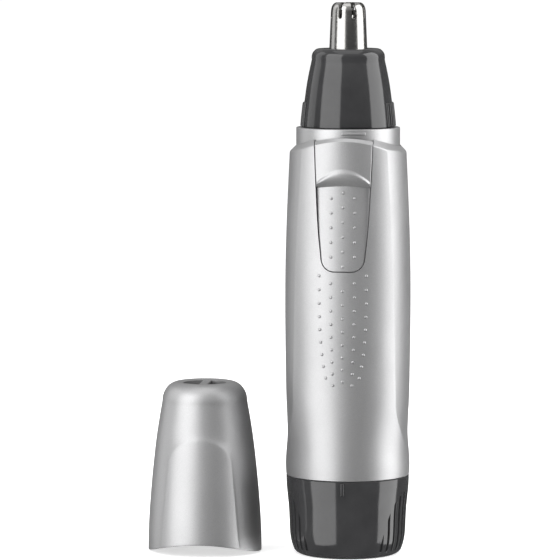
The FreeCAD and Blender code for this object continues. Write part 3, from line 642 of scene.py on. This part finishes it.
def nose_piece():
    """Glossy cone with its spigot and bore."""
    flank = [(nose_surface(z), z) for z in np.linspace(101.15, 116.6, 20)]
    shoulder = [(nose_surface(z), z) for z in (117.1, 117.6, 118.0, 118.35, 118.65, 118.9, 119.05)]
    foot_r = flank[0][0]
    spigot = [(8.2, 95.4), (9.6, 95.4), (9.6, 97.1), (8.75, 97.1), (8.75, 98.1), (9.6, 98.1), (9.6, 100.95)]
    foot = [(foot_r - 0.15, 100.95), (foot_r + 0.01, 101.02)]
    bore = [(7.1, 119.2), (4.52, 119.2), (4.52, 117.3), (6.4, 117.3), (6.6, 112.5), (8.2, 107.5)]
    return lathe("nose_cone_moulded", spigot + foot + flank + shoulder + bore, 200, closed=True)


def nose_ribs():
    bars = []
    for side in (90, 270):
        bars += [(side + offset, 101.0, 106.7) for offset in range(-24, 25, 6)]
    return raised_bars("nose_cone_grip_ribs", bars, RIB_WIDTH, RIB_PROUD, 0.28, nose_surface)


def tube_piece():
    """Slotted cutter tube, turned and polished, with its crown turned in."""
    outer = [(6.3, 115.85), (6.3, 117.2), (4.45, 117.2), (4.45, 119.2), (4.08, 128.0)]
    crown = [(4.0, 128.5), (3.86, 129.0), (3.62, 129.45), (3.3, 129.75), (2.95, 129.95)]
    bore = [(1.5, 130.0), (1.5, 129.45), (2.6, 129.4), (3.6, 128.4), (3.6, 115.85)]
    tube = lathe("cutter_tube_turned", outer + crown + bore, 224, closed=True)
    points, faces = [], []
    for slot in range(CUTTER_SLOTS):
        turn = 2 * math.pi * (slot + 0.5) / CUTTER_SLOTS
        out = np.array((math.cos(turn), math.sin(turn)))
        side = np.array((-out[1], out[0]))
        start = len(points)
        half = CUTTER_SLOT_WIDTH / 2
        base = tube_high.z - CUTTER_SLOT_DEPTH
        round_z = [base + half * (1 - math.cos(a)) for a in np.linspace(0, math.pi / 2, 5)]
        round_w = [half * math.sin(a) for a in np.linspace(0, math.pi / 2, 5)]
        outline = list(zip(round_w, round_z)) + [(half, 131.0)]
        outline += [(-w, z) for w, z in reversed(outline[1:])]
        for radius in (2.0, 6.0):
            for w, z in outline:
                x, y = out * radius + side * w
                points.append((x, y, z))
        count = len(outline)
        faces.append(tuple(start + i for i in range(count)))
        faces.append(tuple(start + count + i for i in reversed(range(count))))
        faces += [(start + i, start + i + count, start + (i + 1) % count + count, start + (i + 1) % count)
                  for i in range(count)]
    return cut(tube, make_object("slots", points, faces), 30.0)


# ---- battery cap ----------------------------------------------------------------------------
GROOVES = 13                                   # on each side of the cap
GROOVE_PITCH = 8.0
GROOVE_DEPTH = 0.5
GROOVE_LOW_Z = 1.45
GROOVE_ARCH = (15.3, 14.4, 3.8)                # height at the middle of a side, fall to its ends, power
GROOVE_STEPS = (0.0, 0.75, 1.0, 1.2, 1.4, 1.62, 2.0, 2.6)  # degrees from a groove's centre to its columns
GRIP_ROWS = 44                                 # rows of the wall up to the arch of the grip
WALL_ROWS = 20                                 # and from there to the seam
WALL_LOW_Z = 0.9
CAP_FLOOR_Z = 1.8
SPIGOT_R = (9.2, 10.6)
SPIGOT_TOP_Z = 26.0
SEAL_GROOVE = (9.94, 19.85, 20.65)             # radius of its floor, and its heights
LUG_PROFILE = ((10.3, 22.6), (11.4, 22.6), (11.55, 22.75), (11.55, 24.25), (11.4, 24.4), (10.3, 24.4))
LUG_STEPS = 9


def groove_top(angle):
    """Height of the top of the grip at an angle from the front: an arch on each side."""
    offset = min(abs(angle % 360 - 90), abs(angle % 360 - 270))
    share = min(offset / (GROOVES * GROOVE_PITCH / 2), 1.0)
    middle, fall, power = GROOVE_ARCH
    return middle - fall * share ** power


def groove_centres():
    return [side + (i - (GROOVES - 1) / 2) * GROOVE_PITCH for side in (90, 270) for i in range(GROOVES)]


def cap_angles():
    """Angles of the columns: even, with more at the walls of each groove."""
    angles = {float(a) for a in range(0, 360, 2)}
    for centre in groove_centres():
        angles = {a for a in angles if abs(a - centre) > 2.3}
        angles |= {centre + sign * step for step in GROOVE_STEPS for sign in (-1, 1)}
    return sorted(angles)


def wall_height(angle, row, top_z):
    """Height of a row of the wall at an angle: the rows follow the arch of the grip."""
    arch = groove_top(angle)
    if row <= GRIP_ROWS:
        return WALL_LOW_Z + (arch - WALL_LOW_Z) * row / GRIP_ROWS
    return arch + (top_z - 0.15 - arch) * (row - GRIP_ROWS) / WALL_ROWS


def groove_depth(angle, z, centres):
    away = min(abs(angle - centre) for centre in centres)
    wall = 1 - smooth_step((away - 1.0) / 0.62)
    ends = smooth_step((z - GROOVE_LOW_Z) / 0.35) * smooth_step((groove_top(angle) - z) / 0.4)
    return GROOVE_DEPTH * wall * ends


def axis_point(angle, radius, z):
    """A point at that angle from the front, round the trimmer's axis."""
    turn = math.radians(angle)
    return (radius * math.sin(turn), -radius * math.cos(turn), z)


def battery_cap_piece():
    """Cap with vertical grip grooves; an open pocket inside and the spigot that carries the lugs."""
    angles = cap_angles()
    top_z = SEAM_Z - SEAM_GAP
    centres = groove_centres()
    heights = (0.95, 1.8, 2.8, 5, 8, 11, 14, 16.5, 18.5)
    wall_r = smooth_curve(heights, [outer_radius("battery_cap", 22, z) for z in heights])
    foot = [(10.9, 0.0), (11.6, 0.1), (12.2, 0.42)]
    loops = [[axis_point(angle, r, z) for angle in angles] for r, z in foot]
    for row in range(GRIP_ROWS + WALL_ROWS + 1):
        loop = []
        for angle in angles:
            z = wall_height(angle, row, top_z)
            loop.append(axis_point(angle, wall_r(z) - groove_depth(angle, z, centres), z))
        loops.append(loop)
    bore_r, spigot_r = SPIGOT_R
    seal_r, seal_low, seal_high = SEAL_GROOVE
    inside = [(wall_r(top_z) - 0.15, top_z), (POCKET_R, top_z)]
    inside += [(POCKET_R, CAP_FLOOR_Z), (spigot_r, CAP_FLOOR_Z)]
    inside += [(spigot_r, seal_low), (seal_r, seal_low), (seal_r, seal_high), (spigot_r, seal_high)]
    inside += [(spigot_r, SPIGOT_TOP_Z - 0.2), (spigot_r - 0.2, SPIGOT_TOP_Z)]
    inside += [(bore_r, SPIGOT_TOP_Z), (bore_r, CAP_FLOOR_Z)]
    loops += [[axis_point(angle, r, z) for angle in angles] for r, z in inside]
    return ring_piece("battery_cap_moulded", loops, 32.0)


def cap_lugs():
    """The two bayonet lugs on the spigot."""
    points, faces = [], []
    steps, rows = LUG_STEPS, len(LUG_PROFILE)
    for side in (90, 270):
        start = len(points)
        for radius, z in LUG_PROFILE:
            for step in range(steps):
                angle = side + LUG_HALF_ANGLE * (2 * step / (steps - 1) - 1)
                points.append(axis_point(angle, radius, z))
        for row in range(rows):
            for step in range(steps - 1):
                a = start + row * steps + step
                b = start + (row + 1) % rows * steps + step
                faces.append((a, a + 1, b + 1, b))
        faces.append(tuple(start + row * steps for row in range(rows)))
        faces.append(tuple(start + row * steps + steps - 1 for row in reversed(range(rows))))
    return make_object("battery_cap_lugs", points, faces)


# ---- protective cap -------------------------------------------------------------------------
def arc_through(start, middle, end, steps=8):
    """Points (radius, z) on the arc through three points, without its first."""
    (ax, ay), (bx, by), (cx, cy) = start, middle, end
    d = 2 * (ax * (by - cy) + bx * (cy - ay) + cx * (ay - by))
    a2, b2, c2 = ax * ax + ay * ay, bx * bx + by * by, cx * cx + cy * cy
    ox = (a2 * (by - cy) + b2 * (cy - ay) + c2 * (ay - by)) / d
    oy = (a2 * (cx - bx) + b2 * (ax - cx) + c2 * (bx - ax)) / d
    radius = math.hypot(ax - ox, ay - oy)
    first = math.atan2(ay - oy, ax - ox)
    turn = (math.atan2(cy - oy, cx - ox) - first + math.pi) % (2 * math.pi) - math.pi
    angles = [first + turn * (i + 1) / steps for i in range(steps)]
    return [(ox + radius * math.cos(a), oy + radius * math.sin(a)) for a in angles]


def cap_radius_curve():
    heights = [4.2, 6.0, 9.0, 12.5, 16.0, 20.0, 24.0, 28.0, 31.5, 34.5, 35.8]
    return smooth_curve(heights, [outer_radius("protective_cap", 90, z, CAP_X) for z in heights])


def panel_proud(x, z):
    """How far the panel stands out: full inside its outline, fading away outside."""
    shoulder_z, shoulder = PANEL_SHOULDER_Z, PANEL_SHOULDER_HALF
    if z > shoulder_z:
        scale = math.hypot(abs(x) / shoulder, (z - shoulder_z) / (PANEL_TOP_Z - shoulder_z))
        side = (scale - 1) * (shoulder if scale < 0.01 else math.hypot(x, z - shoulder_z) / scale)
    else:
        side = abs(x) - (PANEL_FOOT_HALF - (PANEL_FOOT_HALF - shoulder) * max(z + 1, 0) / (shoulder_z + 1))
    if side <= 0:
        return PANEL_PROUD * (1 - 0.12 * math.exp(side / 1.2))
    upward = smooth_step((z - shoulder_z) / 5.0)
    return PANEL_PROUD * 0.88 * math.exp(-side / (0.5 + 0.45 * upward))


def protective_cap_piece():
    """Hollow cap with an arched rim, front and back panels, and two half-round vents in its top."""
    columns = 360
    radii = cap_radius_curve()
    rim_r = radii(CAP_SKIRT_Z)
    shoulder = (radii(SHOULDER_Z), SHOULDER_Z)
    crown = arc_through(shoulder, (9.55, SHOULDER_Z + 2.25), CROWN, 10)
    crown += arc_through(CROWN, (7.5, CREST[1] - 0.25), CREST, 6)
    crown += [(CREST[0] - 0.35, CREST[1] - 0.04), DISH, (0.4, DISH[1])]

    def rim_height(angle, radius):
        return cap_low.z + LEDGE_RISE * math.cos(math.radians(angle)) ** 2 + (CAP_RIM_R - radius)

    def out(angle, z):
        r = radii(z) if z > CAP_SKIRT_Z else rim_r + (CAP_SKIRT_Z - z) * CAP_SKIRT_FLARE
        x = r * math.sin(math.radians(angle))
        return r + panel_proud(x, z)

    loops = []
    lowest = [rim_height(360.0 * c / columns, CAP_RIM_R) for c in range(columns)]

    def at(column):
        return 360.0 * column / columns

    for step in range(4):
        turn = math.pi / 2 * step / 4
        reach = EDGE_ROUND * (1 - math.sin(turn))
        lift = EDGE_ROUND * (1 - math.cos(turn))
        loops.append([cap_point(at(c), out(at(c), lowest[c]) - reach, lowest[c] + reach * 0.6 + lift)
                      for c in range(columns)])
    rows = 84
    for row in range(rows + 1):
        loop = []
        for column in range(columns):
            low = lowest[column] + EDGE_ROUND
            z = low + (SHOULDER_Z - low) * row / rows
            loop.append(cap_point(at(column), out(at(column), z), z))
        loops.append(loop)
    loops += [[cap_point(at(c), r, z) for c in range(columns)] for r, z in crown]
    top = len(loops)
    inner = [(0.4, CREST[1] - 1.55), (7.4, CREST[1] - 2.05), (shoulder[0] - CAP_WALL, SHOULDER_Z)]
    inner += [(radii(z) - CAP_WALL, z) for z in np.linspace(34.0, 11.0, 9)]
    inner += [(CAP_BORE_R, 6.5)]
    inner_loops = [[cap_point(at(c), r, z) for c in range(columns)] for r, z in inner]
    inner_loops.append([cap_point(at(c), CAP_BORE_R, rim_height(at(c), CAP_BORE_R)) for c in range(columns)])
    points = [p for loop in loops + inner_loops for p in loop]
    faces = ring_faces(top, columns, False)
    faces += [tuple(i + top * columns for i in face) for face in ring_faces(len(inner_loops), columns, False)]
    last = (top + len(inner_loops) - 1) * columns
    faces += [(c, (c + 1) % columns, last + (c + 1) % columns, last + c) for c in range(columns)]
    for start in ((top - 1) * columns, top * columns):
        centre = len(points)
        points.append((CAP_X, 0.0, points[start][2]))
        faces += [(centre, start + c, start + (c + 1) % columns) for c in range(columns)]
    cap = make_object("protective_cap_moulded", points, faces, 28.0)
    for side in (-1, 1):
        cap = cut(cap, vent_cutter(side), 28.0)
    return cap


def cap_point(angle, radius, z):
    x, y, z = axis_point(angle, radius, z)
    return (CAP_X + x, y, z)


def vent_cutter(side):
    """A half-round hole through the crown, to one side of the bar across its middle."""
    half_bar = VENT_BRIDGE / 2
    reach = math.acos(half_bar / VENT_R)
    outline = []
    for turn in np.linspace(-reach, reach, 40):
        outline.append((CAP_X + side * VENT_R * math.cos(turn), VENT_R * math.sin(turn)))
    return prism("vent", outline, 30, 45, "z")


# ---- materials ------------------------------------------------------------------------------
def new_material(name):
    material = bpy.data.materials.new(name)
    material.use_nodes = True
    return material, material.node_tree, material.node_tree.nodes["Principled BSDF"]


def object_noise(tree, scale, detail=2.0, stretch=(1, 1, 1)):
    """Noise in object coordinates, so it stays on the object; scale is features per metre."""
    place = tree.nodes.new("ShaderNodeTexCoord")
    mapping = tree.nodes.new("ShaderNodeMapping")
    mapping.inputs["Scale"].default_value = stretch
    noise = tree.nodes.new("ShaderNodeTexNoise")
    noise.inputs["Scale"].default_value = scale
    noise.inputs["Detail"].default_value = detail
    tree.links.new(place.outputs["Object"], mapping.inputs["Vector"])
    tree.links.new(mapping.outputs["Vector"], noise.inputs["Vector"])
    return noise.outputs["Fac"]


def spread(tree, value, low, high, from_low=0.3, from_high=0.7):
    """A 0-1 value mapped to a range."""
    node = tree.nodes.new("ShaderNodeMapRange")
    node.inputs["From Min"].default_value = from_low
    node.inputs["From Max"].default_value = from_high
    node.inputs["To Min"].default_value = low
    node.inputs["To Max"].default_value = high
    tree.links.new(value, node.inputs["Value"])
    return node.outputs["Result"]


def tint(tree, value, dark, light, from_low=0.3, from_high=0.7):
    """A value turned into a colour between two."""
    ramp = tree.nodes.new("ShaderNodeValToRGB")
    ramp.color_ramp.elements[0].position = from_low
    ramp.color_ramp.elements[0].color = (*dark, 1)
    ramp.color_ramp.elements[1].position = from_high
    ramp.color_ramp.elements[1].color = (*light, 1)
    tree.links.new(value, ramp.inputs["Fac"])
    return ramp.outputs["Color"]


def bump(tree, value, height_mm, strength=1.0):
    node = tree.nodes.new("ShaderNodeBump")
    node.inputs["Strength"].default_value = strength
    node.inputs["Distance"].default_value = height_mm * MM
    tree.links.new(value, node.inputs["Height"])
    return node.outputs["Normal"]


def lacquer(name, dark, light, roughness, metallic):
    """Metallic lacquer: fine flakes that vary tone and gloss, under a slightly uneven surface."""
    material, tree, shader = new_material(name)
    flakes = object_noise(tree, 9000, 1.0)
    clouds = object_noise(tree, 120, 3.0)
    tree.links.new(tint(tree, flakes, dark, light), shader.inputs["Base Color"])
    tree.links.new(spread(tree, clouds, roughness - 0.02, roughness + 0.02), shader.inputs["Roughness"])
    tree.links.new(bump(tree, flakes, 0.004, 0.5), shader.inputs["Normal"])
    shader.inputs["Metallic"].default_value = metallic
    return material


def silver_paint():
    return lacquer("silver_paint_lacquer", (0.36, 0.36, 0.364), (0.44, 0.44, 0.444), 0.45, 0.84)


def silver_chrome():
    return lacquer("silver_bright_lacquer", (0.36, 0.36, 0.364), (0.44, 0.44, 0.444), 0.42, 0.84)


def moulded(name, dark, light, roughness, grain_mm, grain_scale):
    """Moulded plastic: a little uneven in colour and gloss, with a fine moulded grain."""
    material, tree, shader = new_material(name)
    clouds = object_noise(tree, 150, 3.0)
    grain = object_noise(tree, grain_scale, 2.0)
    tree.links.new(tint(tree, clouds, dark, light), shader.inputs["Base Color"])
    tree.links.new(spread(tree, grain, roughness - 0.03, roughness + 0.03), shader.inputs["Roughness"])
    tree.links.new(bump(tree, grain, grain_mm, 0.4), shader.inputs["Normal"])
    return material


def dark_plastic():
    return moulded("charcoal_gloss_plastic", (0.022, 0.022, 0.023), (0.029, 0.029, 0.03), 0.11, 0.002, 2200)


def black_plastic():
    return moulded("black_matt_plastic", (0.018, 0.018, 0.018), (0.026, 0.026, 0.026), 0.48, 0.02, 2600)


def white_plastic():
    return moulded("natural_nylon", (0.74, 0.72, 0.66), (0.82, 0.80, 0.75), 0.42, 0.01, 2000)


def rubber():
    return moulded("black_rubber", (0.012, 0.012, 0.012), (0.02, 0.02, 0.02), 0.66, 0.015, 3500)


def cell_sleeve():
    return moulded("cell_film_sleeve", (0.055, 0.1, 0.22), (0.065, 0.115, 0.25), 0.3, 0.004, 900)


def worked_metal(name, dark, light, roughness, stretch, scale, height_mm):
    """Bare metal with tool lines: noise squeezed along the direction it was worked in."""
    material, tree, shader = new_material(name)
    lines = object_noise(tree, scale, 3.0, stretch)
    tree.links.new(tint(tree, lines, dark, light), shader.inputs["Base Color"])
    tree.links.new(spread(tree, lines, roughness - 0.04, roughness + 0.05), shader.inputs["Roughness"])
    tree.links.new(bump(tree, lines, height_mm, 0.35), shader.inputs["Normal"])
    shader.inputs["Metallic"].default_value = 1.0
    return material


def cutter_steel():
    dark, light = (0.36, 0.355, 0.345), (0.46, 0.455, 0.445)
    return worked_metal("turned_stainless_steel", dark, light, 0.2, (1, 1, 14), 700, 0.004)


def motor_steel():
    dark, light = (0.42, 0.43, 0.45), (0.56, 0.57, 0.6)
    return worked_metal("zinc_plated_steel", dark, light, 0.32, (1, 1, 1), 900, 0.006)


def copper():
    return worked_metal("bare_copper", (0.66, 0.33, 0.18), (0.84, 0.48, 0.3), 0.3, (1, 1, 30), 500, 0.01)


def nickel():
    return worked_metal("nickel_plate", (0.62, 0.6, 0.55), (0.74, 0.72, 0.67), 0.2, (1, 1, 1), 1200, 0.004)


def magnet():
    return moulded("sintered_ferrite", (0.05, 0.05, 0.052), (0.09, 0.09, 0.092), 0.6, 0.02, 1600)


def cell_body():
    return worked_metal("cell_can_metal", (0.5, 0.48, 0.44), (0.62, 0.6, 0.56), 0.34, (8, 8, 1), 300, 0.004)


SLOT_MATERIALS = {make.__name__: make() for make in (
    silver_paint, silver_chrome, dark_plastic, black_plastic, white_plastic, cutter_steel, motor_steel,
    magnet, copper, nickel, rubber, cell_body, cell_sleeve)}


# ---- put the pieces on the frame ------------------------------------------------------------
def place(piece, body, slot_name, node=None):
    piece.data.materials.clear()
    piece.data.materials.append(SLOT_MATERIALS[slot_name])
    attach(piece, body)
    if node:
        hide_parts(node)


for part in frame["record"]["subparts"]:
    node_mesh = frame["nodes"][part["node"]].data
    node_mesh.materials.clear()
    node_mesh.materials.append(SLOT_MATERIALS[part["material_slot"]])

place(housing_skin(), "housing", "silver_paint", "housing_shell")
grip_dots = dots("housing_grip_dots", shell_dot_places(), lambda x, z: (x, front_y(x, z), z))
place(grip_dots, "housing", "silver_paint")
place(collar_piece(), "housing", "silver_chrome", "neck_collar")
place(raised_bars("neck_collar_beads", [(a, *BEAD_Z) for a in BEAD_ANGLES], BEAD_WIDTH, 0.22, 0.2,
                  lambda z: COLLAR_R), "housing", "silver_chrome")
place(slider_skin(), "power_switch", "silver_paint", "switch_slider")
place(dots("switch_slider_grip_dots", slider_dot_places(), slider_front), "power_switch", "silver_paint")
place(nose_piece(), "cutter_head", "dark_plastic", "nose_cone")
place(nose_ribs(), "cutter_head", "dark_plastic")
place(tube_piece(), "cutter_head", "cutter_steel", "cutter_tube")
place(battery_cap_piece(), "battery_cap", "dark_plastic", "battery_cap")
place(cap_lugs(), "battery_cap", "dark_plastic")
place(raised_bars("battery_cap_pointer", [(0, 15.3, 18.35)], 0.9, 0.36, 0.25,
                  lambda z: outer_radius("battery_cap", 22, z)), "battery_cap", "dark_plastic")
place(protective_cap_piece(), "protective_cap", "silver_paint", "protective_cap")


# ---- floor, light and camera ----------------------------------------------------------------
FLOOR_HALF_WIDTH = 15.0                        # metres
FLOOR_GLOW = 0.6


def backdrop():
    """Plain white floor, wide enough to fill the picture from any side."""
    half = FLOOR_HALF_WIDTH
    points = [(-half, -half, 0), (half, -half, 0), (half, half, 0), (-half, half, 0)]
    mesh = bpy.data.meshes.new("backdrop")
    mesh.from_pydata(points, [], [(0, 1, 2, 3)])
    sheet = bpy.data.objects.new("backdrop", mesh)
    bpy.context.scene.collection.objects.link(sheet)
    material, tree, shader = new_material("backdrop_paper")
    shader.inputs["Base Color"].default_value = (0.9, 0.9, 0.9, 1)
    shader.inputs["Roughness"].default_value = 0.9
    shader.inputs["Emission Color"].default_value = (1, 1, 1, 1)
    shader.inputs["Emission Strength"].default_value = FLOOR_GLOW
    mesh.materials.append(material)
    sheet.visible_glossy = False
    sheet.visible_shadow = False


AIM = Vector((-0.016, 0.0, 0.0647))
CAMERA_AZIMUTH = 6.0
CAMERA_ELEVATION = 5.3
CAMERA_DISTANCE = 0.95                         # metres
PICTURE_WIDTH = 0.1319
SENSOR = 36.0


def from_camera_side(azimuth, elevation, distance):
    """A point at that angle to the right of the camera's direction and above the floor, round the object."""
    turn = math.radians(CAMERA_AZIMUTH + azimuth)
    rise = math.radians(elevation)
    flat = distance * math.cos(rise)
    return Vector((flat * math.sin(turn), -flat * math.cos(turn), AIM.z + distance * math.sin(rise)))


def softbox(name, azimuth, elevation, distance, size, power):
    light = bpy.data.lights.new(name, "AREA")
    light.shape = "RECTANGLE"
    light.size, light.size_y = size
    light.energy = power
    lamp = bpy.data.objects.new(name, light)
    bpy.context.scene.collection.objects.link(lamp)
    lamp.location = from_camera_side(azimuth, elevation, distance)
    lamp.rotation_euler = (AIM - lamp.location).to_track_quat("-Z", "Y").to_euler()
    return lamp


def radiance_power(radiance, size):
    """Watts that give an area light that radiance."""
    return radiance * math.pi * size[0] * size[1]


def lights():
    for name, azimuth, elevation, distance, size, radiance in (
        ("left_softbox", -49, 9, 0.9, (0.9, 1.5), 2.85),
        ("right_softbox", 84, 12, 0.9, (0.8, 1.45), 3.4),
        ("back_fill", -110, 12, 0.9, (0.48, 1.2), 1.0),
        ("overhead", 0, 80, 1.3, (1.2, 1.2), 1.0),
    ):
        softbox(name, azimuth, elevation, distance, size, radiance_power(radiance, size))


def world():
    """A room that is dim at eye level and bright overhead."""
    surroundings = bpy.data.worlds.new("studio")
    surroundings.use_nodes = True
    tree = surroundings.node_tree
    background = tree.nodes["Background"]
    background.inputs["Color"].default_value = (1, 1, 1, 1)
    place_in_sky = tree.nodes.new("ShaderNodeTexCoord")
    height = tree.nodes.new("ShaderNodeSeparateXYZ")
    brightness = tree.nodes.new("ShaderNodeMapRange")
    brightness.interpolation_type = "SMOOTHSTEP"
    brightness.inputs["From Min"].default_value = 0.08
    brightness.inputs["From Max"].default_value = 0.6
    brightness.inputs["To Min"].default_value = 0.1
    brightness.inputs["To Max"].default_value = 0.55
    tree.links.new(place_in_sky.outputs["Generated"], height.inputs["Vector"])
    tree.links.new(height.outputs["Z"], brightness.inputs["Value"])
    tree.links.new(brightness.outputs["Result"], background.inputs["Strength"])
    bpy.context.scene.world = surroundings


def camera():
    eye = bpy.data.cameras.new("camera")
    eye.sensor_width = SENSOR
    eye.lens = SENSOR * CAMERA_DISTANCE / PICTURE_WIDTH
    eye.clip_end = 40.0
    holder = bpy.data.objects.new("camera", eye)
    bpy.context.scene.collection.objects.link(holder)
    turn, rise = math.radians(CAMERA_AZIMUTH), math.radians(CAMERA_ELEVATION)
    away = Vector((math.sin(turn) * math.cos(rise), -math.cos(turn) * math.cos(rise), math.sin(rise)))
    side = Vector((math.cos(turn), math.sin(turn), 0))
    target = side * AIM.x + Vector((0, 0, AIM.z))
    holder.location = target + away * CAMERA_DISTANCE
    holder.rotation_euler = (-away).to_track_quat("-Z", "Y").to_euler()
    bpy.context.scene.camera = holder


backdrop()
lights()
world()
camera()
bpy.context.scene.view_settings.view_transform = "Standard"
